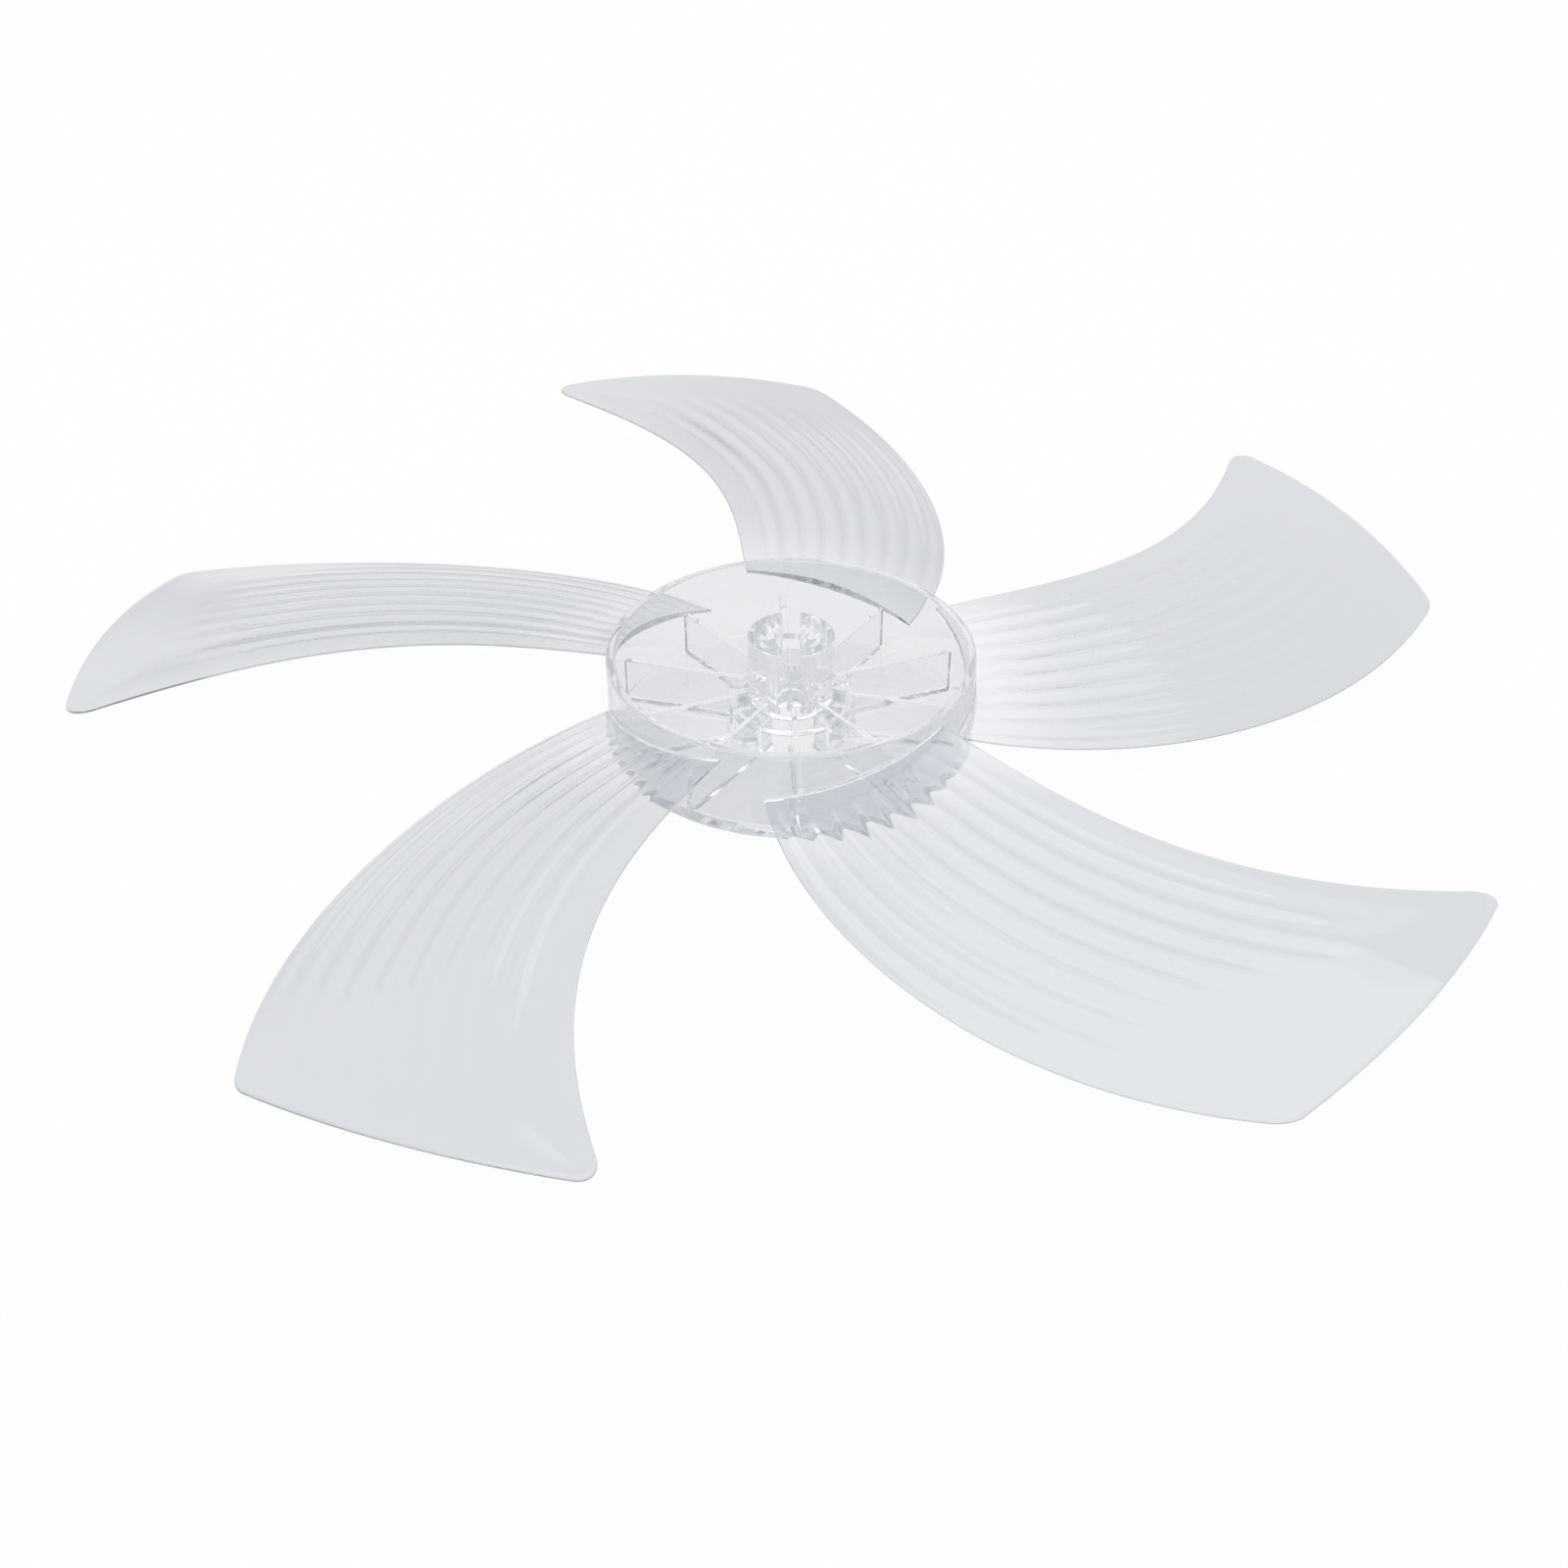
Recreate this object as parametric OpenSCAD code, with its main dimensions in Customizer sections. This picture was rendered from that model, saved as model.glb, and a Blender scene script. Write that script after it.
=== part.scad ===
// One-piece moulded fan blade: a ribbed hub cup with a shaft boss and swept, rippled blades.
// Units are millimetres and degrees. The origin is on the shaft axis at the seat of the nut well,
// and the open, ribbed side of the hub faces +Z.

/* [Overall] */
// Number of blades, evenly spaced round the hub
blade_count = 5; // [3:1:5]
// Distance from the axis to the blade tips
tip_radius = 190.4; // [160:0.1:215]

/* [Hub cup] */
// Outside radius of the hub cup
hub_radius = 49; // [44:0.5:56]
// Height of the hub cup from the closed face to the open rim
hub_height = 26; // [25:0.1:34]
// Thickness of the cup wall
hub_wall = 2.4; // [1.8:0.1:3.4]
// Thickness of the closed face
hub_floor = 3; // [2:0.1:4]
// Radius of the rounded corner between the closed face and the wall
hub_corner = 1.8; // [0.5:0.1:2.4]
// Radius of the rounding on the rim
rim_round = 0.6; // [0.2:0.05:0.8]

/* [Ribs] */
// Number of radial ribs inside the cup
rib_count = 10; // [5:1:14]
// Thickness of a rib
rib_thickness = 1.6; // [1:0.1:2.4]
// Depth of the rib tops below the rim
rib_drop = 10.5; // [7:0.1:11]
// Direction of the first rib
rib_angle = 21; // [0:1:35]

/* [Nut well] */
// Inside radius of the well in the closed face, which takes the spinner nut
well_radius = 14.7; // [12.5:0.1:18]
// Depth of the well from the closed face
well_depth = 9.4; // [6:0.1:10]
// Thickness of the wall and the roof of the well
well_wall = 2.4; // [1.8:0.1:3]

/* [Shaft boss] */
// Outside radius of the boss
boss_radius = 11.5; // [9:0.1:12.4]
// Height of the boss above the rim
boss_stand = 5.1; // [1:0.1:8]
// Diameter of the shaft bore
bore_diameter = 8; // [6:0.1:10]
// Width of the bevel at the mouth of the bore
bore_bevel = 0.6; // [0.2:0.1:1]
// Width of the slot that takes the drive pin of the shaft
slot_width = 5; // [3:0.1:6]
// Depth of the slot from the end of the boss
slot_depth = 7; // [4:0.1:10]
// Direction of the slot
slot_angle = 90; // [-90:1:90]

/* [Blade plan] */
// Direction of the leading end of the first blade's root
root_start = -39; // [-90:0.1:0]
// Angle that a blade root covers on the hub
root_wrap = 59; // [48:0.1:66]
// Angle from the leading end of the root to the leading corner of the tip
tip_sweep = 8.9; // [0:0.1:20]
// Angle that a blade tip covers
tip_wrap = 27.4; // [22:0.1:34]
// Turn of the leading edge as it leaves the root
lead_turn_in = -8.1; // [-14:0.1:0]
// Turn of the leading edge as it meets the tip
lead_turn_out = -8.1; // [-14:0.1:0]
// Turn of the trailing edge as it leaves the root
trail_turn_in = 17; // [8:0.1:24]
// Turn of the trailing edge as it meets the tip
trail_turn_out = -14.1; // [-22:0.1:-6]
// Radius of the leading corner of the tip
lead_corner = 4.9; // [2:0.1:8]
// Radius of the trailing corner of the tip
trail_corner = 4.1; // [2:0.1:8]
// Distance by which the trailing corner reaches farther out than the leading one
tip_slant = 1.6; // [0:0.1:3]

/* [Blade height] */
// Depth of the leading edge below the rim at the root
lead_root_drop = 3.2; // [2.4:0.1:5]
// Depth of the leading edge below the rim at the tip
lead_tip_drop = 7.3; // [4:0.1:10]
// Extra depth of the leading edge near the tip
lead_sag = 1.7; // [0:0.1:4]
// Depth of the trailing edge below the rim at the root
trail_root_drop = 13.5; // [11:0.1:16]
// Depth of the trailing edge below the rim at the tip
trail_tip_drop = 16.3; // [12:0.1:18]
// Extra depth of the trailing edge near the root
trail_sag_in = 5.9; // [3:0.1:8]
// Extra depth of the trailing edge near the tip
trail_sag_out = 6.9; // [3:0.1:8]
// Rise of the blade between its edges, over the inner half of the span
camber_inner = 2.9; // [0:0.1:4]
// Rise of the blade between its edges, over the outer half of the span
camber_outer = 4.1; // [0:0.1:5]
// Rise of the blade between its edges, at the tip
camber_tip = 2.6; // [0:0.1:4]

/* [Blade section] */
// Thickness of a blade at the root
root_thickness = 2; // [1.6:0.1:2.6]
// Thickness of a blade at the tip
tip_thickness = 1.5; // [1.2:0.1:2]
// Share of the thickness that is left at the bevelled edges
edge_share = 0.55; // [0.4:0.05:1]
// Number of ripples across a blade
ripple_count = 9; // [5:1:9]
// Height of a ripple from trough to crest
ripple_height = 1; // [0:0.1:1.4]
// Share of the chord that stays smooth beside the leading edge
ripple_margin = 0.1; // [0.1:0.01:0.2]
// Share of the span at which the ripples start to fade
fade_start = 0.6; // [0.4:0.01:0.75]
// Share of the span at which the ripples have gone
fade_end = 0.9; // [0.8:0.01:0.97]

/* [Hidden] */

eps = 0.01;
circle_sides = 96;
arc_steps = 4;
cup_inner = hub_radius - hub_wall;
boss_top = hub_height + boss_stand;
rib_top = hub_height - rib_drop;
well_roof = well_depth + well_wall;
root_inset = hub_wall / 2;
span_steps = 11;
steps_per_ripple = 4;
tip_start = root_start + tip_sweep;
tip_chord = tip_wrap * PI / 180 * tip_radius;
plastic = [0.86, 0.87, 0.89, 0.6];

// Smooth change from a to d, shaped by b and c
function blend(a, b, c, d, s) =
    a * pow(1 - s, 3) + 3 * b * s * pow(1 - s, 2) + 3 * c * s * s * (1 - s) + d * pow(s, 3);

function clamp(x) = min(1, max(0, x));

function ease(x) = clamp(x) * clamp(x) * (3 - 2 * clamp(x));

// How far a rounded corner of radius r cuts in, at distance x from the edge
function corner_cut(x, r) = x >= r ? 0 : r - sqrt(r * r - pow(r - x, 2));

function tip_edge(u) =
    tip_radius + tip_slant * (u - 0.5)
    - corner_cut(u * tip_chord, lead_corner)
    - corner_cut((1 - u) * tip_chord, trail_corner);

function lead_angle(s) =
    blend(root_start, root_start + lead_turn_in, tip_start + lead_turn_out, tip_start, s);

function trail_angle(s) =
    blend(root_start - root_wrap, root_start - root_wrap + trail_turn_in,
          tip_start - tip_wrap + trail_turn_out, tip_start - tip_wrap, s);

function lead_z(s) =
    hub_height - blend(lead_root_drop, lead_root_drop, lead_tip_drop + lead_sag, lead_tip_drop, s);

function trail_z(s) =
    hub_height - blend(trail_root_drop, trail_root_drop + trail_sag_in,
                       trail_tip_drop + trail_sag_out, trail_tip_drop, s);

function camber(s) = blend(0, camber_inner, camber_outer, camber_tip, s);

// Ripples run along the blade, and fade towards the tip and both edges
function ripple(s, u) =
    let (pitch = (1 - ripple_margin) / ripple_count)
    let (phase = (u - ripple_margin) / pitch)
    let (at_edges = ease(phase / 0.5) * ease((1 - u) / (0.5 * pitch)))
    let (at_tip = 1 - ease((s - fade_start) / (fade_end - fade_start)))
    -0.5 * ripple_height * sin(360 * phase) * at_edges * at_tip;

function thickness(s, u, at_end) =
    (root_thickness + (tip_thickness - root_thickness) * s)
    * (at_end || u == 0 || u == 1 ? edge_share : 1);

// A point on one side of the blade: side is 1 for the open side and -1 for the closed side
function blade_point(s, u, r, side, at_end) =
    let (a = lead_angle(s) + (trail_angle(s) - lead_angle(s)) * u)
    let (z = lead_z(s) + (trail_z(s) - lead_z(s)) * u + camber(s) * 4 * u * (1 - u))
    [r * cos(a), r * sin(a), z + ripple(s, u) + side * thickness(s, u, at_end) / 2];

// Shares of the chord at which the blade is worked out
chord_steps = steps_per_ripple * ripple_count;
chords = concat(
    [0, 0.012, 0.04, 0.07],
    [for (i = [0:chord_steps]) if (i < chord_steps) ripple_margin + (1 - ripple_margin) * i / chord_steps],
    [0.99, 1]
);
columns = len(chords);

// Shares of the span at which the blade is worked out: the first row lies inside the cup wall
spans = concat([for (i = [0:span_steps]) 0.992 * i / span_steps], [1]);
rows = len(spans);

function row_radius(i, u) =
    i == 0 ? hub_radius - root_inset : hub_radius + (tip_edge(u) - hub_radius) * spans[i];

// Corner k of the wall section, rounded with radius r about (x, z)
function arc(x, z, r, from, to) =
    [for (k = [0:arc_steps]) let (a = from + (to - from) * k / arc_steps) [x + r * cos(a), z + r * sin(a)]];

module cup() {
    color(plastic)
    rotate_extrude($fn = circle_sides)
    polygon(concat(
        [[0, 0]],
        arc(hub_radius - hub_corner, hub_corner, hub_corner, -90, 0),
        arc(hub_radius - rim_round, hub_height - rim_round, rim_round, 0, 90),
        arc(cup_inner + rim_round, hub_height - rim_round, rim_round, 90, 180),
        [[cup_inner, hub_floor], [0, hub_floor]]
    ));
}

module well_shell() {
    color(plastic)
    cylinder(r = well_radius + well_wall, h = well_roof, $fn = circle_sides);
}

module boss() {
    color(plastic)
    cylinder(r = boss_radius, h = boss_top, $fn = circle_sides);
}

module ribs() {
    color(plastic)
    for (i = [0:rib_count - 1])
        rotate([0, 0, rib_angle + i * 360 / rib_count])
        translate([boss_radius - 1, -rib_thickness / 2, hub_floor / 2])
        cube([cup_inner + hub_wall / 2 - boss_radius + 1, rib_thickness, rib_top - hub_floor / 2]);
}

module well() {
    translate([0, 0, -1])
    cylinder(r = well_radius, h = well_depth + 1, $fn = circle_sides);
}

module shaft_bore() {
    bore_radius = bore_diameter / 2;
    translate([0, 0, -1])
    cylinder(r = bore_radius, h = boss_top + 2, $fn = circle_sides);
    translate([0, 0, boss_top - bore_bevel])
    cylinder(r1 = bore_radius, r2 = bore_radius + 2 * bore_bevel, h = 2 * bore_bevel, $fn = circle_sides);
}

module pin_slot() {
    rotate([0, 0, slot_angle])
    translate([-boss_radius - 1, -slot_width / 2, boss_top - slot_depth])
    cube([2 * boss_radius + 2, slot_width, slot_depth + 1]);
}

module hub() {
    difference() {
        union() {
            cup();
            well_shell();
            boss();
            ribs();
        }
        well();
        shaft_bore();
        pin_slot();
    }
}

module blade() {
    half = rows * columns;
    points = concat(
        [for (i = [0:rows - 1]) for (j = [0:columns - 1])
            blade_point(spans[i], chords[j], row_radius(i, chords[j]), 1, i == rows - 1)],
        [for (i = [0:rows - 1]) for (j = [0:columns - 1])
            blade_point(spans[i], chords[j], row_radius(i, chords[j]), -1, i == rows - 1)]
    );
    open_side = [for (i = [0:rows - 2]) for (j = [0:columns - 2])
        let (a = i * columns + j)
        each [[a, a + columns, a + columns + 1], [a, a + columns + 1, a + 1]]];
    closed_side = [for (f = open_side) [f[2] + half, f[1] + half, f[0] + half]];
    ends = [for (j = [0:columns - 2])
        let (t = (rows - 1) * columns + j)
        each [[j, j + 1, j + 1 + half], [j, j + 1 + half, j + half],
              [t + 1, t, t + half], [t + 1, t + half, t + 1 + half]]];
    edges = [for (i = [0:rows - 2])
        let (a = i * columns)
        let (b = a + columns - 1)
        each [[a + columns, a, a + half], [a + columns, a + half, a + columns + half],
              [b, b + columns, b + columns + half], [b, b + columns + half, b + half]]];
    color(plastic)
    polyhedron(points, concat(open_side, closed_side, ends, edges), convexity = 6);
}

module fan_blade() {
    translate([0, 0, -well_depth])
    union() {
        hub();
        for (i = [0:blade_count - 1])
            rotate([0, 0, i * 360 / blade_count])
            blade();
    }
}

fan_blade();
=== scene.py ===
"""Dresses the moulded fan blade: one clear plastic moulding on a pale floor under soft lamps.

Lengths are metres and angles are radians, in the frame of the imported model: the origin is on the
shaft axis at the seat of the nut well, and the open, ribbed side of the hub faces +Z. The main
sizes repeat those of the part's source. The ripples are lower here, the blades thin towards their
edges, and small edges and corners are rounded.
"""

import logging
import math
from dataclasses import dataclass, fields
from enum import Enum
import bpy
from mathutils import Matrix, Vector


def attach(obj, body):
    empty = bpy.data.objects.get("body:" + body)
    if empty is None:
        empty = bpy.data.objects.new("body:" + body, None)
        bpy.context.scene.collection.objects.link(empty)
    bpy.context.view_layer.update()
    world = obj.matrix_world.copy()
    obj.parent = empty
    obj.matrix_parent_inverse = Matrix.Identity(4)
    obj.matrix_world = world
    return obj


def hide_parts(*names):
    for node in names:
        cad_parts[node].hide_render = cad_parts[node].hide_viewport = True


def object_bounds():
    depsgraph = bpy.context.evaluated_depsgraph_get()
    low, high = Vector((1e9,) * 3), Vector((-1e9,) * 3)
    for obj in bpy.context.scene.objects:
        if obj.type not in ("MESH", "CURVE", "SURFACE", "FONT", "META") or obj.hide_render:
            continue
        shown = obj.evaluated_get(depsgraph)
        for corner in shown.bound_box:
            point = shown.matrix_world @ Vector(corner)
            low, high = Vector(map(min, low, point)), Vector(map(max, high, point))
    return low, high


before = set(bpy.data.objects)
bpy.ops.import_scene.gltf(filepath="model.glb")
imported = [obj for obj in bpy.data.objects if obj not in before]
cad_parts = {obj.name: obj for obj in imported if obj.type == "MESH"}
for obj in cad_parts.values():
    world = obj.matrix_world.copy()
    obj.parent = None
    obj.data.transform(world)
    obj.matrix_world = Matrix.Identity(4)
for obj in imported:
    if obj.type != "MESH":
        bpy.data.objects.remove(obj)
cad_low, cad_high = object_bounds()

from types import SimpleNamespace
from typing import Any, Optional, Union

import bmesh
import bpy
from mathutils import Vector

log = logging.getLogger("fan_blade")

CAD_NODE = "fan_blade"
BODY = "root"
SHARP_ANGLE = math.radians(38)
TURN = 2 * math.pi


def mm(value: float) -> float:
    """Millimetres as metres."""
    return value * 0.001


def deg(value: float) -> float:
    """Degrees as radians."""
    return math.radians(value)


class Join(Enum):
    """How a shape is joined to the moulding."""

    ADD = "UNION"
    CUT = "DIFFERENCE"


class Maths(Enum):
    """The sums that a Math node does here."""

    ADD = "ADD"
    SUBTRACT = "SUBTRACT"
    MULTIPLY = "MULTIPLY"
    DIVIDE = "DIVIDE"
    POWER = "POWER"
    SINE = "SINE"
    COSINE = "COSINE"
    ROOT = "SQRT"
    SMALLER = "MINIMUM"
    LARGER = "MAXIMUM"


class Term:
    """A number on a node's output that takes part in Python arithmetic."""

    def __init__(self, bench: "NodeBench", socket: bpy.types.NodeSocket) -> None:
        """Wraps socket, whose tree bench adds nodes to."""
        self.bench = bench
        self.socket = socket

    def through(self, sum_: Maths, *values: "Number") -> "Term":
        """Adds a Math node.

        Args:
            sum_: What the node does.
            values: Its inputs, in order.

        Returns:
            The node's result.
        """
        node = self.bench.node("ShaderNodeMath", {"operation": sum_.value}, dict(enumerate(values)))
        return Term(self.bench, node.outputs[0])

    def __add__(self, other: "Number") -> "Term":
        """self + other."""
        return self.through(Maths.ADD, self, other)

    def __radd__(self, other: "Number") -> "Term":
        """other + self."""
        return self.through(Maths.ADD, other, self)

    def __sub__(self, other: "Number") -> "Term":
        """self - other."""
        return self.through(Maths.SUBTRACT, self, other)

    def __rsub__(self, other: "Number") -> "Term":
        """other - self."""
        return self.through(Maths.SUBTRACT, other, self)

    def __mul__(self, other: "Number") -> "Term":
        """self * other."""
        return self.through(Maths.MULTIPLY, self, other)

    def __rmul__(self, other: "Number") -> "Term":
        """other * self."""
        return self.through(Maths.MULTIPLY, other, self)

    def __truediv__(self, other: "Number") -> "Term":
        """self / other."""
        return self.through(Maths.DIVIDE, self, other)

    def __rtruediv__(self, other: "Number") -> "Term":
        """other / self."""
        return self.through(Maths.DIVIDE, other, self)

    def __pow__(self, other: "Number") -> "Term":
        """self ** other."""
        return self.through(Maths.POWER, self, other)

    def sine(self) -> "Term":
        """The sine of this angle."""
        return self.through(Maths.SINE, self)

    def cosine(self) -> "Term":
        """The cosine of this angle."""
        return self.through(Maths.COSINE, self)

    def root(self) -> "Term":
        """The square root."""
        return self.through(Maths.ROOT, self)

    def at_most(self, other: "Number") -> "Term":
        """The smaller of this and other."""
        return self.through(Maths.SMALLER, self, other)

    def at_least(self, other: "Number") -> "Term":
        """The larger of this and other."""
        return self.through(Maths.LARGER, self, other)

    def clamped(self) -> "Term":
        """This, kept from 0 to 1."""
        return self.at_most(1.0).at_least(0.0)

    def eased(self) -> "Term":
        """A smooth step from 0 to 1 as this goes from 0 to 1."""
        x = self.clamped()
        return x * x * (3 - 2 * x)


Number = Union[float, int, Term]


class NodeBench:
    """Adds nodes to one tree."""

    def __init__(self, tree: bpy.types.NodeTree) -> None:
        """Works on tree."""
        self.tree = tree

    def node(
        self,
        kind: str,
        settings: Optional[dict[str, Any]] = None,
        values: Optional[dict[Any, Any]] = None,
    ) -> bpy.types.Node:
        """Adds a node.

        Args:
            kind: The node's type.
            settings: What is set on the node itself, before its sockets.
            values: A value, socket or term for each input, by the input's name or place.

        Returns:
            The node.
        """
        node = self.tree.nodes.new(kind)
        for name, value in (settings or {}).items():
            setattr(node, name, value)
        for key, value in (values or {}).items():
            socket = value.socket if isinstance(value, Term) else value
            if isinstance(socket, bpy.types.NodeSocket):
                self.tree.links.new(socket, node.inputs[key])
            else:
                node.inputs[key].default_value = socket
        return node

    def term(self, kind: str, output: Any = 0, **parts: Any) -> Term:
        """Adds a node, as node() does, and wraps one of its outputs."""
        return Term(self, self.node(kind, **parts).outputs[output])

    def vector(self, x: Number, y: Number, z: Number) -> bpy.types.NodeSocket:
        """A vector of three numbers."""
        return self.node("ShaderNodeCombineXYZ", values={0: x, 1: y, 2: z}).outputs[0]

    def mixed(self, first: Any, second: Any, share: Number) -> bpy.types.NodeSocket:
        """A colour between two, at a share of the way from the first to the second."""
        return self.node(
            "ShaderNodeMix", {"data_type": "RGBA"}, {0: share, 6: first, 7: second}
        ).outputs[2]

    def seen_plainly(self) -> Term:
        """1 where the camera, a gloss or the plastic looks, and 0 for the light on the object."""
        path = self.node("ShaderNodeLightPath").outputs
        seen = Term(self, path["Is Camera Ray"])
        for ray in ("Is Glossy Ray", "Is Transmission Ray"):
            seen = seen.at_least(Term(self, path[ray]))
        return seen

    def split(self, vector: bpy.types.NodeSocket) -> tuple[Term, Term, Term]:
        """The three numbers of a vector."""
        node = self.node("ShaderNodeSeparateXYZ", values={0: vector})
        return Term(self, node.outputs[0]), Term(self, node.outputs[1]), Term(self, node.outputs[2])


class SizedTree:
    """A Geometry Nodes tree with a named input for each size of one dataclass."""

    def __init__(self, name: str, sizes: Any) -> None:
        """Makes the inputs.

        Args:
            name: The tree's name.
            sizes: A dataclass of floats and whole numbers.
        """
        self.tree = bpy.data.node_groups.new(name, "GeometryNodeTree")
        self.bench = NodeBench(self.tree)
        self.given: dict[str, Any] = {}
        for item in fields(sizes):
            kind = "NodeSocketInt" if item.type is int else "NodeSocketFloat"
            title = item.name.replace("_", " ").capitalize()
            socket = self.tree.interface.new_socket(title, in_out="INPUT", socket_type=kind)
            self.given[socket.identifier] = getattr(sizes, item.name)
        self.finish = self.tree.interface.new_socket(
            "Finish", in_out="INPUT", socket_type="NodeSocketMaterial"
        ).identifier
        self.tree.interface.new_socket("Shape", in_out="OUTPUT", socket_type="NodeSocketGeometry")
        outputs = self.bench.node("NodeGroupInput").outputs
        self.size = SimpleNamespace(
            **{item.name: Term(self.bench, outputs[i]) for i, item in enumerate(fields(sizes))}
        )
        self.finish_socket = outputs[len(fields(sizes))]

    def grid_solid(self, rows: Term, columns: Term, layers: Term) -> tuple[Any, Term, Term, Term]:
        """A unit cube of many faces, to be bent into shape.

        Args:
            rows: Points along X.
            columns: Points along Y.
            layers: Points along Z.

        Returns:
            The cube's geometry, and each point's share along X, Y and Z, from 0 to 1.
        """
        cube = self.bench.node(
            "GeometryNodeMeshCube",
            values={"Vertices X": rows, "Vertices Y": columns, "Vertices Z": layers},
        )
        place = self.bench.node("GeometryNodeInputPosition").outputs[0]
        x, y, z = self.bench.split(place)
        return cube.outputs[0], x + 0.5, y + 0.5, z + 0.5

    def bend(self, shape: Any, place: bpy.types.NodeSocket) -> bpy.types.NodeSocket:
        """Moves each point of shape to place."""
        return self.bench.node(
            "GeometryNodeSetPosition", values={"Geometry": shape, "Position": place}
        ).outputs[0]

    def ring_of(self, shape: Any, count: Term, first: Number) -> bpy.types.NodeSocket:
        """Copies of a shape, evenly turned about the Z axis.

        Args:
            shape: The shape's geometry.
            count: How many there are.
            first: The angle of the first one.

        Returns:
            The instances.
        """
        points = self.bench.node("GeometryNodePoints", values={"Count": count}).outputs[0]
        index = self.bench.term("GeometryNodeInputIndex")
        turn = self.bench.vector(0.0, 0.0, first + index * TURN / count)
        return self.bench.node(
            "GeometryNodeInstanceOnPoints",
            values={"Points": points, "Instance": shape, "Rotation": turn},
        ).outputs[0]

    def build(self, name: str, shape: Any, finish: bpy.types.Material) -> bpy.types.Object:
        """Ends the tree and makes a plain mesh of what it gives.

        Args:
            name: The object's name.
            shape: The geometry that the tree ends with.
            finish: The material on it.

        Returns:
            An object that holds the mesh and no modifier.
        """
        real = self.bench.node(
            "GeometryNodeRealizeInstances", values={"Geometry": shape}
        ).outputs[0]
        dressed = self.bench.node(
            "GeometryNodeSetMaterial", values={"Geometry": real, "Material": self.finish_socket}
        ).outputs[0]
        self.bench.node("NodeGroupOutput", values={0: dressed})
        maker = new_object(name, bpy.data.meshes.new(name))
        modifier = maker.modifiers.new("Shape", "NODES")
        modifier.node_group = self.tree
        for identifier, value in self.given.items():
            modifier[identifier] = value
        modifier[self.finish] = finish
        settle(maker)
        return maker


def new_object(name: str, data: Any) -> bpy.types.Object:
    """Adds an object with this data to the scene."""
    made = bpy.data.objects.new(name, data)
    bpy.context.scene.collection.objects.link(made)
    return made


def settle(shape: bpy.types.Object) -> None:
    """Turns an object's modifiers into its plain mesh."""
    seen = bpy.context.evaluated_depsgraph_get()
    seen.update()
    mesh = bpy.data.meshes.new_from_object(shape.evaluated_get(seen), depsgraph=seen)
    shape.modifiers.clear()
    old = shape.data
    shape.data = mesh
    bpy.data.meshes.remove(old)
    mesh.name = shape.name


def join(target: bpy.types.Object, other: bpy.types.Object, how: Join) -> None:
    """Adds a shape to the target or cuts it out, and removes the shape.

    Args:
        target: The moulding so far.
        other: A closed shape, or several that don't touch.
        how: Whether it is added or cut out.
    """
    modifier = target.modifiers.new(how.name, "BOOLEAN")
    modifier.operation = how.value
    modifier.solver = "MANIFOLD"
    modifier.object = other
    settle(target)
    bpy.data.objects.remove(other)


def mesh_of(
    name: str,
    points: list[tuple[float, float, float]],
    faces: list[tuple[int, ...]],
    finish: bpy.types.Material,
) -> bpy.types.Object:
    """Makes a closed mesh with its faces outwards.

    Args:
        name: The object's name.
        points: Its points.
        faces: The places in points of each face's corners.
        finish: Its material.

    Returns:
        The object.
    """
    mesh = bpy.data.meshes.new(name)
    mesh.from_pydata(points, [], faces)
    mesh.materials.append(finish)
    work = bmesh.new()
    work.from_mesh(mesh)
    bmesh.ops.recalc_face_normals(work, faces=work.faces)
    work.to_mesh(mesh)
    work.free()
    return new_object(name, mesh)


def arc(
    x: float, z: float, radius: float, start: float, end: float, steps: int = 6
) -> list[tuple[float, float]]:
    """Points of an arc in a profile.

    Args:
        x: The centre's distance from the axis.
        z: The centre's height.
        radius: The arc's radius.
        start: Its first direction, in degrees.
        end: Its last direction, in degrees.
        steps: How many pieces it is cut into.

    Returns:
        The points, from start to end.
    """
    turns = [deg(start + (end - start) * i / steps) for i in range(steps + 1)]
    return [(x + radius * math.cos(t), z + radius * math.sin(t)) for t in turns]


def blend(a: Number, b: Number, c: Number, d: Number, s: Term) -> Term:
    """A smooth change from a to d as s goes from 0 to 1, shaped by b and c."""
    t = 1 - s
    return a * t**3 + 3 * b * s * t**2 + 3 * c * s**2 * t + d * s**3


def crowded(share: Term, amount: Number) -> Term:
    """Moves evenly spaced shares towards 0 and 1, so that edges get finer rows."""
    wave = 0.5 - 0.5 * (share * math.pi).cosine()
    return share + amount * (wave - share)


def round_off(distance: Term, radius: Number) -> Term:
    """A quarter circle's height, from 0 at an edge to 1 at radius from it."""
    gap = 1 - (distance / radius).clamped()
    return (1 - gap * gap).at_least(0.0).root()


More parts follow.
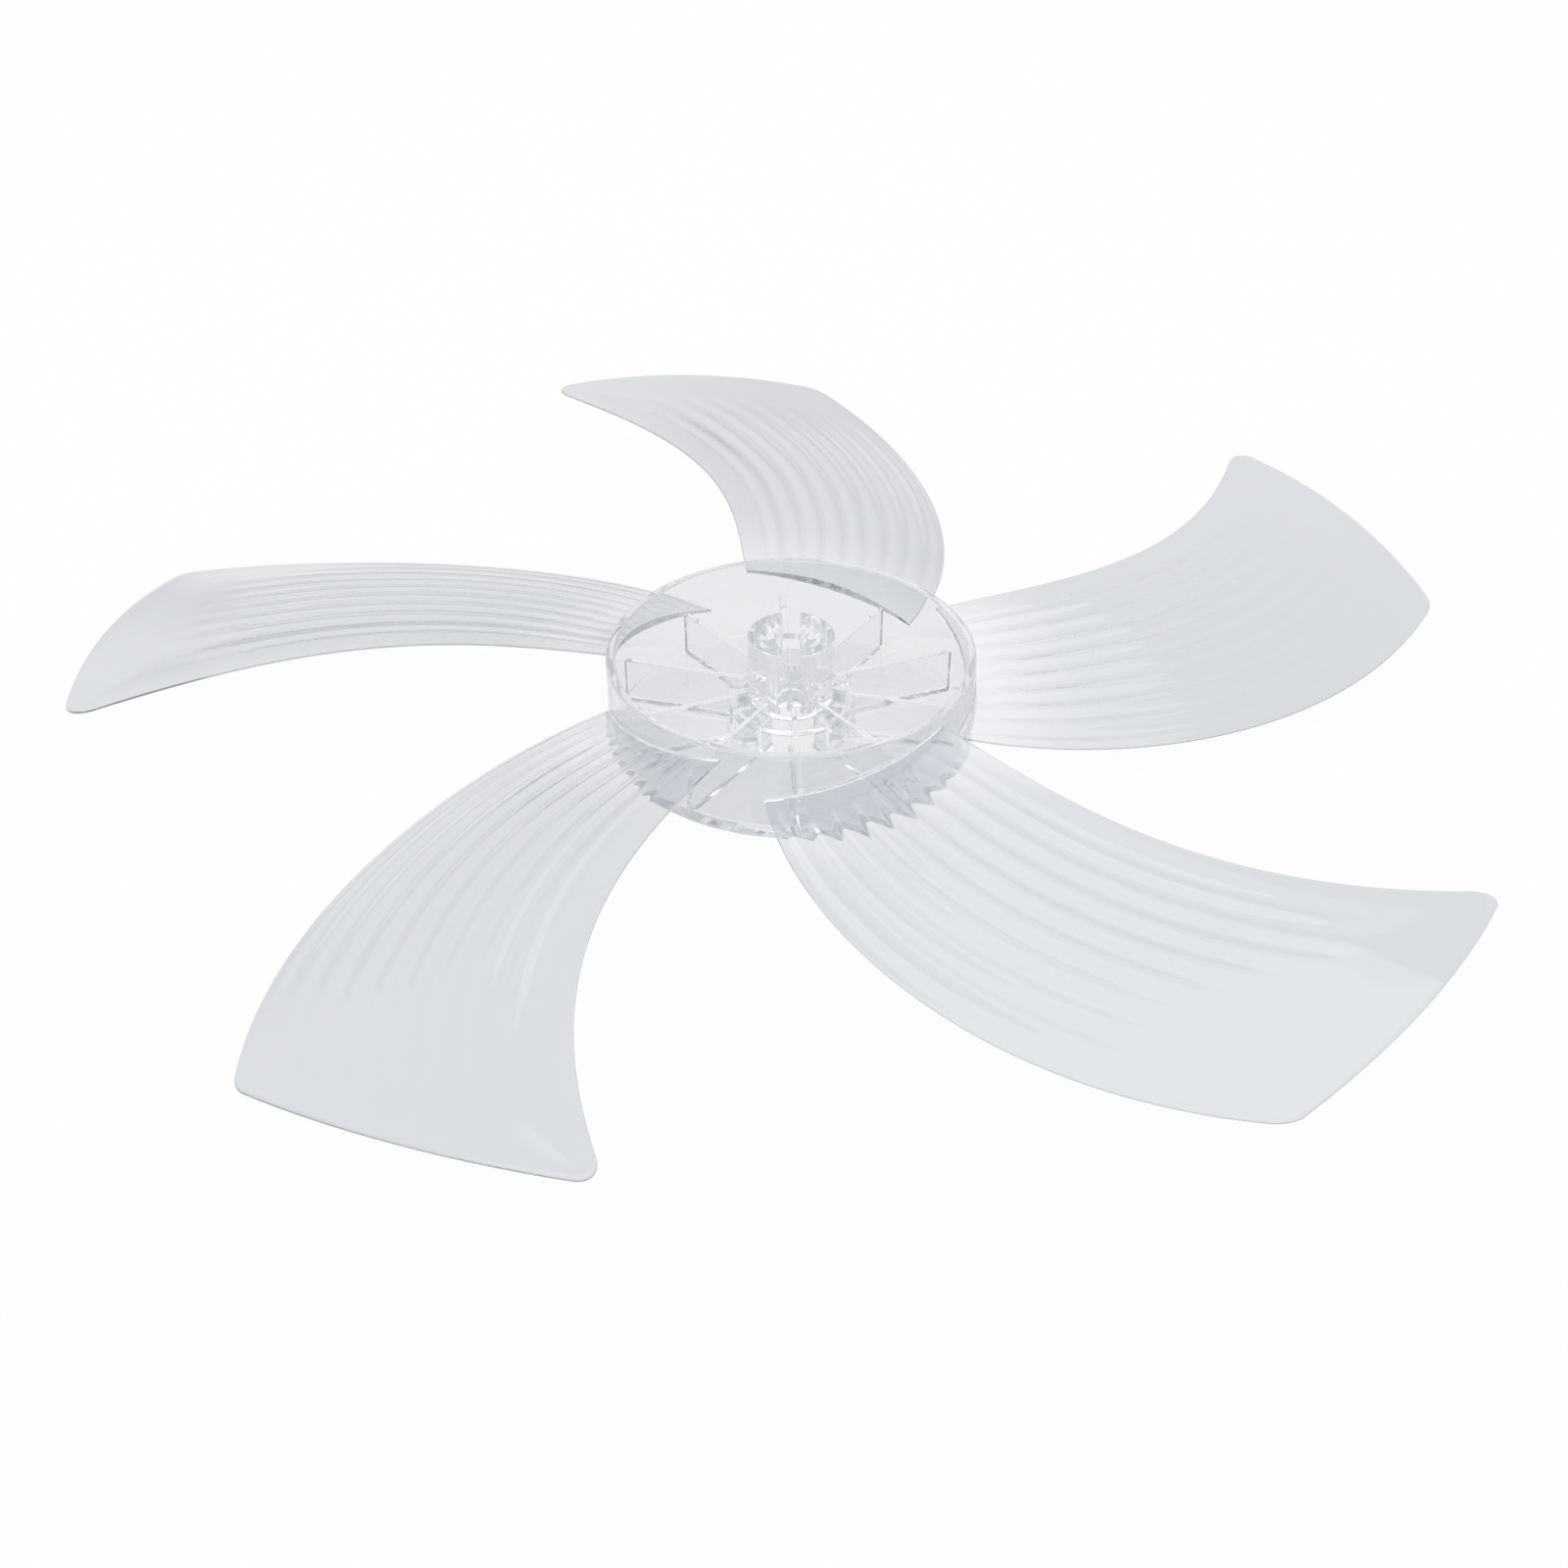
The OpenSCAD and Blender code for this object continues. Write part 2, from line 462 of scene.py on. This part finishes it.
@dataclass(frozen=True)
class ClearPlastic:
    """The finish of the moulding: clear plastic with a moulded gloss, whose faint grey-blue base
    colour is painted shade.
    """

    # Painted shade: the blades' grey-blue stands in for a grey backdrop seen through the clear
    # plastic.
    blade_tint: tuple[float, float, float] = (0.7, 0.718, 0.748)
    # Lighter painted shade on the blade roots, closed face, cup wall, nut well, ribs and boss,
    # where rays cross more layers.
    root_tint: tuple[float, float, float] = (0.81, 0.822, 0.845)
    face_tint: tuple[float, float, float] = (0.82, 0.83, 0.846)
    wall_tint: tuple[float, float, float] = (0.84, 0.85, 0.87)
    well_tint: tuple[float, float, float] = (0.86, 0.87, 0.885)
    clear_tint: tuple[float, float, float] = (0.95, 0.953, 0.96)
    wall_start: float = mm(46)
    blade_start: float = mm(49.2)
    blade_end: float = mm(84)
    face_top: float = mm(-6.2)
    well_reach: float = mm(17.3)
    roof_top: float = mm(2.6)
    tint_step: float = mm(0.5)
    level_start: float = 0.25
    level_width: float = 0.25
    refraction: float = 1.49
    roughness: float = 0.03
    roughness_change: float = 0.03
    flow_scale: float = 38.0
    flow_detail: float = 3.0
    flow_grain: float = 0.5
    flow_height: float = mm(0.02)
    absorption: tuple[float, float, float] = (0.6, 0.62, 0.66)
    density: float = 6.0

    def material(self) -> bpy.types.Material:
        """Builds the material.

        Returns:
            A refracting material whose base colour is painted shade in zones: the level faces of
            the closed side, the nut well, the cup wall, and the blades, whose painted shade gets
            deeper from the root outwards.
            The zones are lighter where a ray crosses more layers of plastic.
        """
        material = bpy.data.materials.new("clear_plastic")
        material.use_nodes = True
        tree = material.node_tree
        tree.nodes.clear()
        bench = NodeBench(tree)
        coordinates = bench.node("ShaderNodeTexCoord").outputs
        place = coordinates["Object"]
        x, y, height = bench.split(place)
        _, _, facing = bench.split(coordinates["Normal"])
        level = ((facing * facing - self.level_start) / self.level_width).eased()
        radius = (x * x + y * y).root()
        on_face = 1 - ((height - self.face_top) / self.tint_step).eased()
        below_roof = 1 - ((height - self.roof_top) / self.tint_step).eased()
        on_roof = below_roof * (1 - ((radius - self.well_reach) / self.tint_step).eased())
        on_wall = ((radius - self.wall_start) / self.tint_step).eased()
        beyond_hub = radius - self.blade_start
        on_root = (beyond_hub / self.tint_step).eased()
        on_blade = (beyond_hub / (self.blade_end - self.blade_start)).eased()
        # The base colour is painted shade, graded by zone and lightest on the ribs and boss; the
        # closed face's share falls only on level faces.
        zone_painted_shade = (*self.clear_tint, 1)
        for mask, other in (
            (on_roof, self.well_tint),
            (on_wall, self.wall_tint),
            (on_face.at_least(on_roof) * level, self.face_tint),
            (on_root, self.root_tint),
            (on_blade, self.blade_tint),
        ):
            zone_painted_shade = bench.mixed(zone_painted_shade, (*other, 1), mask)
        flow = bench.term(
            "ShaderNodeTexNoise",
            values={
                "Vector": place,
                "Scale": self.flow_scale,
                "Detail": self.flow_detail,
                "Roughness": self.flow_grain,
            },
        )
        bump = bench.node(
            "ShaderNodeBump",
            values={"Strength": 1.0, "Distance": self.flow_height, "Height": flow},
        ).outputs[0]
        shader = bench.node(
            "ShaderNodeBsdfPrincipled",
            values={
                "Base Color": zone_painted_shade,
                "Roughness": self.roughness + self.roughness_change * flow,
                "IOR": self.refraction,
                "Transmission Weight": 1.0,
                "Normal": bump,
            },
        ).outputs[0]
        depth = bench.node(
            "ShaderNodeVolumeAbsorption",
            values={"Color": (*self.absorption, 1), "Density": self.density},
        ).outputs[0]
        bench.node("ShaderNodeOutputMaterial", values={"Surface": shader, "Volume": depth})
        return material


@dataclass(frozen=True)
class PaleFloor:
    """The finish of the floor: white to the camera and through the plastic, with a faint shadow."""

    white: float = 0.9
    shown: float = 0.96

    def material(self) -> bpy.types.Material:
        """Builds the material.

        Returns:
            White paint, mixed with plain white where the camera, gloss or the plastic sees it.
        """
        material = bpy.data.materials.new("pale_floor")
        material.use_nodes = True
        tree = material.node_tree
        tree.nodes.clear()
        bench = NodeBench(tree)
        seen = bench.seen_plainly()
        paint = bench.node(
            "ShaderNodeBsdfDiffuse", values={"Color": (self.white, self.white, self.white, 1)}
        ).outputs[0]
        plain = bench.node("ShaderNodeEmission", values={"Strength": 1.0}).outputs[0]
        lit = bench.node(
            "ShaderNodeMixShader", values={0: seen * self.shown, 1: paint, 2: plain}
        ).outputs[0]
        behind = bench.node("ShaderNodeNewGeometry").outputs["Backfacing"]
        clear = bench.node("ShaderNodeBsdfTransparent").outputs[0]
        both = bench.node("ShaderNodeMixShader", values={0: behind, 1: lit, 2: clear}).outputs[0]
        bench.node("ShaderNodeOutputMaterial", values={"Surface": both})
        return material


@dataclass(frozen=True)
class RibSizes:
    """The sizes of the ribs in the hub cup."""

    count: int = 10
    first: float = deg(21)
    inner: float = mm(10.5)
    outer: float = mm(47.8)
    foot: float = mm(-7.9)
    floor: float = mm(-6.4)
    top: float = mm(6.1)
    thickness: float = mm(1.6)
    top_round: float = mm(0.35)
    top_narrowing: float = 0.8
    foot_fillet: float = mm(0.5)
    rows: int = 2
    columns: int = 2
    layers: int = 22
    crowding: float = 0.8


class Ribs:
    """The radial ribs between the shaft boss and the cup wall."""

    def __init__(self, sizes: RibSizes, finish: bpy.types.Material) -> None:
        """Keeps the sizes and the finish."""
        self.sizes = sizes
        self.finish = finish

    def build(self) -> bpy.types.Object:
        """Builds all the ribs.

        Returns:
            The ribs, each a closed shape with a rounded top and a filleted foot.
        """
        tree = SizedTree("radial_ribs", self.sizes)
        p = tree.size
        cube, along, across, up = tree.grid_solid(p.rows, p.columns, p.layers)
        height = p.foot + (p.top - p.foot) * crowded(up, p.crowding)
        rounded = p.top_round * (1 - round_off(p.top - height, p.top_round))
        low = 1 - ((height - p.floor) / p.foot_fillet).clamped()
        half = p.thickness / 2 - p.top_narrowing * rounded + p.foot_fillet * low * low
        x = p.inner + (p.outer - p.inner) * along
        rib = tree.bend(cube, tree.bench.vector(x, (2 * across - 1) * half, height))
        return tree.build("ribs", tree.ring_of(rib, p.count, p.first), self.finish)


@dataclass(frozen=True)
class HubSizes:
    """The sizes of the hub cup, its nut well and its shaft boss."""

    sides: int = 192
    radius: float = mm(49)
    wall: float = mm(2.4)
    wall_draft: float = mm(0.15)
    bottom: float = mm(-9.4)
    floor: float = mm(3)
    rim: float = mm(16.6)
    corner: float = mm(1.8)
    rim_round: float = mm(0.6)
    fillet: float = mm(0.9)
    well: float = mm(14.7)
    well_wall: float = mm(2.4)
    boss: float = mm(11.5)
    boss_top: float = mm(21.7)
    boss_round: float = mm(0.5)
    bore: float = mm(4)
    bevel: float = mm(0.6)
    slot_width: float = mm(5)
    slot_depth: float = mm(7)
    slot_round: float = mm(0.5)


class Hub:
    """The hub cup with its ribs, nut well, shaft boss, bore and pin slot."""

    def __init__(self, sizes: HubSizes, ribs: Ribs, finish: bpy.types.Material) -> None:
        """Keeps the sizes, the ribs and the finish."""
        self.sizes = sizes
        self.ribs = ribs
        self.finish = finish

    def profile(self) -> list[tuple[float, float]]:
        """The closed outline that is turned round the axis.

        Returns:
            Points as distance from the axis and height, from the bore up, out, down and back.
        """
        p = self.sizes
        inner = p.radius - p.wall
        inside = p.bottom + p.floor
        shell = p.well + p.well_wall
        roof = p.well_wall
        small = p.boss_round
        at_floor = inner - p.wall_draft
        return [
            (p.bore, 0.0),
            (p.bore, p.boss_top - p.bevel),
            (p.bore + p.bevel, p.boss_top),
            *arc(p.boss - small, p.boss_top - small, small, 90, 0),
            *arc(p.boss + p.fillet, roof + p.fillet, p.fillet, 180, 270),
            *arc(shell - small, roof - small, small, 90, 0),
            *arc(shell + p.fillet, inside + p.fillet, p.fillet, 180, 270),
            *arc(at_floor - p.fillet, inside + p.fillet, p.fillet, 270, 360),
            *arc(inner + p.rim_round, p.rim - p.rim_round, p.rim_round, 180, 90),
            *arc(p.radius - p.rim_round, p.rim - p.rim_round, p.rim_round, 90, 0),
            *arc(p.radius - p.corner, p.bottom + p.corner, p.corner, 0, -90),
            *arc(p.well + small, p.bottom + small, small, 270, 180),
            *arc(p.well - small, -small, small, 0, 90),
        ]

    def turned(self) -> bpy.types.Object:
        """Turns the profile round the axis."""
        outline, sides = self.profile(), self.sizes.sides
        rows = len(outline)
        points = [
            (r * math.cos(TURN * i / sides), r * math.sin(TURN * i / sides), z)
            for i in range(sides)
            for r, z in outline
        ]
        faces = [
            (
                i * rows + k,
                i * rows + (k + 1) % rows,
                (i + 1) % sides * rows + (k + 1) % rows,
                (i + 1) % sides * rows + k,
            )
            for i in range(sides)
            for k in range(rows)
        ]
        return mesh_of("hub", points, faces, self.finish)

    def pin_slot(self) -> bpy.types.Object:
        """The space that the slot for the drive pin takes out of the boss.

        Returns:
            A bar along Y with rounded lower edges and a flared mouth.
        """
        p = self.sizes
        half, small, low = p.slot_width / 2, p.slot_round, p.boss_top - p.slot_depth
        right = [
            *arc(half - small, low + small, small, 270, 360),
            *arc(half + small, p.boss_top - small, small, 180, 90),
            (half + small, p.boss_top + small),
        ]
        outline = right + [(-x, z) for x, z in reversed(right)]
        reach = p.boss + small
        rows = len(outline)
        points = [(x, y, z) for y in (-reach, reach) for x, z in outline]
        sides = [(k, (k + 1) % rows, (k + 1) % rows + rows, k + rows) for k in range(rows)]
        ends = [tuple(range(rows)), tuple(range(rows, 2 * rows))]
        return mesh_of("pin_slot", points, [*sides, *ends], self.finish)

    def build(self) -> bpy.types.Object:
        """Builds the hub.

        Returns:
            The hub as one closed shape.
        """
        hub = self.turned()
        join(hub, self.ribs.build(), Join.ADD)
        join(hub, self.pin_slot(), Join.CUT)
        return hub


@dataclass(frozen=True)
class BladeSizes:
    """The sizes of a blade, its section and its ripples."""

    count: int = 5
    rim: float = mm(16.6)
    hub_radius: float = mm(49)
    root_inset: float = mm(1.2)
    tip_radius: float = mm(190.4)
    root_start: float = deg(-39)
    root_wrap: float = deg(59)
    tip_sweep: float = deg(9.77)
    tip_wrap: float = deg(27.53)
    lead_turn_in: float = deg(-8.39)
    lead_turn_out: float = deg(-8.31)
    trail_turn_in: float = deg(17.46)
    trail_turn_out: float = deg(-14.32)
    lead_corner: float = mm(7.5)
    trail_corner: float = mm(3)
    tip_slant: float = mm(1.6)
    lead_root_drop: float = mm(3.2)
    lead_tip_drop: float = mm(7.3)
    lead_sag: float = mm(1.7)
    trail_root_drop: float = mm(13.5)
    trail_tip_drop: float = mm(16.3)
    trail_sag_in: float = mm(5.9)
    trail_sag_out: float = mm(6.9)
    camber_inner: float = mm(2.9)
    camber_outer: float = mm(4.1)
    camber_tip: float = mm(2.6)
    root_thickness: float = mm(2)
    tip_thickness: float = mm(1.5)
    root_fillet: float = mm(0.4)
    edge_round: float = mm(0.25)
    edge_share: float = 0.5
    edge_taper: float = mm(24)
    edge_left: float = 0.35
    ripple_count: float = 9
    ripple_height: float = mm(0.55)
    ripple_margin: float = 0.1
    fade_start: float = 0.6
    fade_end: float = 0.9
    rise_share: float = 0.12
    rise_end: float = 0.12
    rows: int = 46
    columns: int = 136
    layers: int = 2
    row_crowding: float = 0.86
    column_crowding: float = 0.8


class Blades:
    """The swept, rippled blades round the hub."""

    def __init__(self, sizes: BladeSizes, finish: bpy.types.Material) -> None:
        """Keeps the sizes and the finish."""
        self.sizes = sizes
        self.finish = finish

    @staticmethod
    def corner_cut(distance: Term, radius: Term) -> Term:
        """How far a rounded corner of this radius cuts in, at a distance from the edge."""
        return radius * (1 - round_off(distance, radius))

    def tip_edges(self, p: SimpleNamespace, u: Term) -> tuple[Term, Term]:
        """The tip's distance from the axis, at a share of the chord.

        Args:
            p: The blade's sizes.
            u: The share of the chord.

        Returns:
            The distance if the corners were sharp, and with rounded corners.
        """
        chord = p.tip_wrap * p.tip_radius
        sharp = p.tip_radius + p.tip_slant * (u - 0.5)
        cut_in = self.corner_cut(u * chord, p.lead_corner)
        cut_out = self.corner_cut((1 - u) * chord, p.trail_corner)
        return sharp, sharp - cut_in - cut_out

    @staticmethod
    def edge_angles(p: SimpleNamespace, s: Term) -> tuple[Term, Term]:
        """The directions of the leading and the trailing edge, at a share of the span."""
        root, tip = p.root_start, p.root_start + p.tip_sweep
        lead = blend(root, root + p.lead_turn_in, tip + p.lead_turn_out, tip, s)
        root, tip = root - p.root_wrap, tip - p.tip_wrap
        trail = blend(root, root + p.trail_turn_in, tip + p.trail_turn_out, tip, s)
        return lead, trail

    @staticmethod
    def edge_heights(p: SimpleNamespace, s: Term) -> tuple[Term, Term]:
        """The heights of the leading and the trailing edge, at a share of the span."""
        root, tip = p.lead_root_drop, p.lead_tip_drop
        lead = blend(root, root, tip + p.lead_sag, tip, s)
        root, tip = p.trail_root_drop, p.trail_tip_drop
        trail = blend(root, root + p.trail_sag_in, tip + p.trail_sag_out, tip, s)
        return p.rim - lead, p.rim - trail

    @staticmethod
    def ripple(p: SimpleNamespace, s: Term, u: Term) -> Term:
        """The ripples' height over the blade, which fades at the tip and at both edges."""
        pitch = (1 - p.ripple_margin) / p.ripple_count
        phase = (u - p.ripple_margin) / pitch
        at_edges = (phase / 0.5).eased() * ((1 - u) / (0.5 * pitch)).eased()
        at_tip = 1 - ((s - p.fade_start) / (p.fade_end - p.fade_start)).eased()
        at_root = p.rise_share + (1 - p.rise_share) * (s / p.rise_end).eased()
        return -0.5 * p.ripple_height * (phase * TURN).sine() * at_edges * at_tip * at_root

    def build(self) -> bpy.types.Object:
        """Builds all the blades.

        Returns:
            The blades, each a closed shape whose root ends inside the cup wall.
        """
        tree = SizedTree("rippled_blades", self.sizes)
        p = tree.size
        cube, along, across, up = tree.grid_solid(p.rows, p.columns, p.layers)
        u = crowded(across, p.column_crowding)
        reach = crowded(along, p.row_crowding)
        sharp_tip, tip = self.tip_edges(p, u)
        root = p.hub_radius - p.root_inset
        radius = root + (tip - root) * reach
        s = ((radius - p.hub_radius) / (sharp_tip - p.hub_radius)).at_least(0.0)
        lead, trail = self.edge_angles(p, s)
        lead_z, trail_z = self.edge_heights(p, s)
        angle = lead + (trail - lead) * u
        camber = blend(0.0, p.camber_inner, p.camber_outer, p.camber_tip, s)
        middle = lead_z + (trail_z - lead_z) * u + camber * 4 * u * (1 - u) + self.ripple(p, s, u)
        chord = (lead - trail) * radius
        at_tip = round_off(tip - radius, p.edge_round)
        at_sides = round_off(u * chord, p.edge_round) * round_off((1 - u) * chord, p.edge_round)
        near = 1 - ((radius - p.hub_radius) / p.root_fillet).clamped()
        thickness = p.root_thickness + (p.tip_thickness - p.root_thickness) * s
        gap = (tip - radius).at_most(u * chord).at_most((1 - u) * chord)
        thinned = p.edge_left + (1 - p.edge_left) * (gap / p.edge_taper).eased()
        edge = (at_tip * at_sides).at_least(p.edge_share) * thinned
        half = thickness / 2 * edge + p.root_fillet * near * near
        z = middle + (1 - 2 * up) * half
        x, y = radius * angle.cosine(), radius * angle.sine()
        blade = tree.bend(cube, tree.bench.vector(x, y, z))
        return tree.build("blades", tree.ring_of(blade, p.count, 0.0), self.finish)


class FanBlade:
    """The whole moulding: the hub and its blades in one piece."""

    def __init__(self, hub: Hub, blades: Blades) -> None:
        """Keeps the parts of the moulding."""
        self.hub = hub
        self.blades = blades

    @staticmethod
    def smooth(moulding: bpy.types.Object) -> None:
        """Shades the surface smoothly, apart from its sharp edges."""
        mesh = moulding.data
        mesh.polygons.foreach_set("use_smooth", [True] * len(mesh.polygons))
        mesh.set_sharp_from_angle(angle=SHARP_ANGLE)
        modifier = moulding.modifiers.new("Even", "WEIGHTED_NORMAL")
        modifier.keep_sharp = True
        settle(moulding)

    def build(self) -> bpy.types.Object:
        """Builds the moulding.

        Returns:
            One closed piece that stands for the CAD node.
        """
        moulding = self.hub.build()
        join(moulding, self.blades.build(), Join.ADD)
        moulding.name = "moulded_fan_blade"
        self.smooth(moulding)
        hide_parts(CAD_NODE)
        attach(moulding, BODY)
        return moulding


@dataclass(frozen=True)
class Lamp:
    """One soft round lamp."""

    name: str
    place: tuple[float, float, float]
    aim: tuple[float, float, float]
    width: float
    height: float
    brightness: float

    def build(self) -> bpy.types.Object:
        """Hangs the lamp.

        Returns:
            The lamp, with its power worked out from its brightness and size.
        """
        data = bpy.data.lights.new(self.name, "AREA")
        data.shape = "ELLIPSE"
        data.size, data.size_y = self.width, self.height
        data.energy = self.brightness * math.pi * (math.pi / 4 * self.width * self.height)
        lamp = new_object(self.name, data)
        lamp.location = self.place
        lamp.rotation_mode = "QUATERNION"
        gaze = Vector(self.aim) - Vector(self.place)
        lamp.rotation_quaternion = gaze.to_track_quat("-Z", "Y")
        return lamp


@dataclass(frozen=True)
class Studio:
    """The floor, the sky, the lamps and the camera."""

    floor_half: float = 5.0
    floor_gap: float = mm(0.15)
    sky: tuple[tuple[float, float], ...] = (
        (0.0, 0.87),
        (0.06, 0.84),
        (0.15, 0.56),
        (0.26, 0.61),
        (0.45, 0.92),
        (1.0, 1.0),
    )
    sky_tilt: float = 0.25
    tilt_height: float = 0.3
    sky_shown: float = 1.15
    sky_light: float = 0.75
    sensor_width: float = 36
    focal_length: float = 50.27
    elevation: float = deg(35.86)
    distance: float = mm(604.45)
    target: tuple[float, float, float] = (mm(-1.89), 0.0, mm(-27.0))
    nearest: float = 0.01
    farthest: float = 50
    bounces: int = 128
    clear_bounces: int = 64
    gloss_bounces: int = 96
    lamps: tuple[Lamp, ...] = (
        Lamp("overhead_softbox", (0.05, 0.32, 1.2), (0.05, 0.32, 0), 1.4, 1.5, 0.9),
        Lamp("side_softbox", (-1.3, -0.4, 0.9), (0, 0, 0), 0.9, 0.9, 0.8),
    )

    def floor(self, finish: PaleFloor) -> None:
        """Lays the floor just under the hub's closed face."""
        half, z = self.floor_half, cad_low.z - self.floor_gap
        mesh = bpy.data.meshes.new("floor")
        corners = [(-half, -half, z), (half, -half, z), (half, half, z), (-half, half, z)]
        mesh.from_pydata(corners, [], [(0, 1, 2, 3)])
        mesh.materials.append(finish.material())
        new_object("floor", mesh)

    def light(self) -> None:
        """Grades the sky from the horizon up and hangs the lamps."""
        world = bpy.data.worlds.new("soft_sky")
        bpy.context.scene.world = world
        world.use_nodes = True
        world.node_tree.nodes.clear()
        bench = NodeBench(world.node_tree)
        aside, _, up = bench.split(bench.node("ShaderNodeTexCoord").outputs["Generated"])
        ramp = bench.node("ShaderNodeValToRGB", values={0: up})
        stops = ramp.color_ramp.elements
        for place, _ in self.sky[1:-1]:
            stops.new(place)
        for stop, (place, tone) in zip(stops, self.sky):
            stop.position = place
            stop.color = (tone, tone, tone, 1)
        shown = self.sky_light + (self.sky_shown - self.sky_light) * bench.seen_plainly()
        strength = shown * (1 - self.sky_tilt * aside * (up / self.tilt_height).clamped())
        sky = bench.node(
            "ShaderNodeBackground", values={"Color": ramp.outputs[0], "Strength": strength}
        ).outputs[0]
        bench.node("ShaderNodeOutputWorld", values={"Surface": sky})
        for lamp in self.lamps:
            lamp.build()

    def camera(self) -> None:
        """Sets the camera at the photograph's viewing angle."""
        data = bpy.data.cameras.new("camera")
        data.sensor_width = self.sensor_width
        data.lens = self.focal_length
        data.clip_start, data.clip_end = self.nearest, self.farthest
        camera = new_object("camera", data)
        x, y, z = self.target
        camera.location = (
            x,
            y - self.distance * math.cos(self.elevation),
            z + self.distance * math.sin(self.elevation),
        )
        camera.rotation_euler = (math.pi / 2 - self.elevation, 0, 0)
        bpy.context.scene.camera = camera

    def build(self) -> None:
        """Builds the whole studio."""
        self.floor(PaleFloor())
        self.light()
        self.camera()
        scene = bpy.context.scene
        scene.view_settings.view_transform = "Standard"
        scene.cycles.max_bounces = self.bounces
        scene.cycles.transmission_bounces = self.clear_bounces
        scene.cycles.glossy_bounces = self.gloss_bounces


def main() -> None:
    """Builds the moulding and the studio."""
    logging.basicConfig(level=logging.INFO, format="%(name)s: %(message)s")
    finish = ClearPlastic().material()
    ribs = Ribs(RibSizes(), finish)
    hub = Hub(HubSizes(), ribs, finish)
    blades = Blades(BladeSizes(), finish)
    piece = FanBlade(hub, blades).build()
    piece.data.calc_loop_triangles()
    log.info("%s: %d triangles", piece.name, len(piece.data.loop_triangles))
    Studio().build()
    log.info("studio: %d lamps", len(Studio().lamps))


if __name__ == "__main__":
    main()
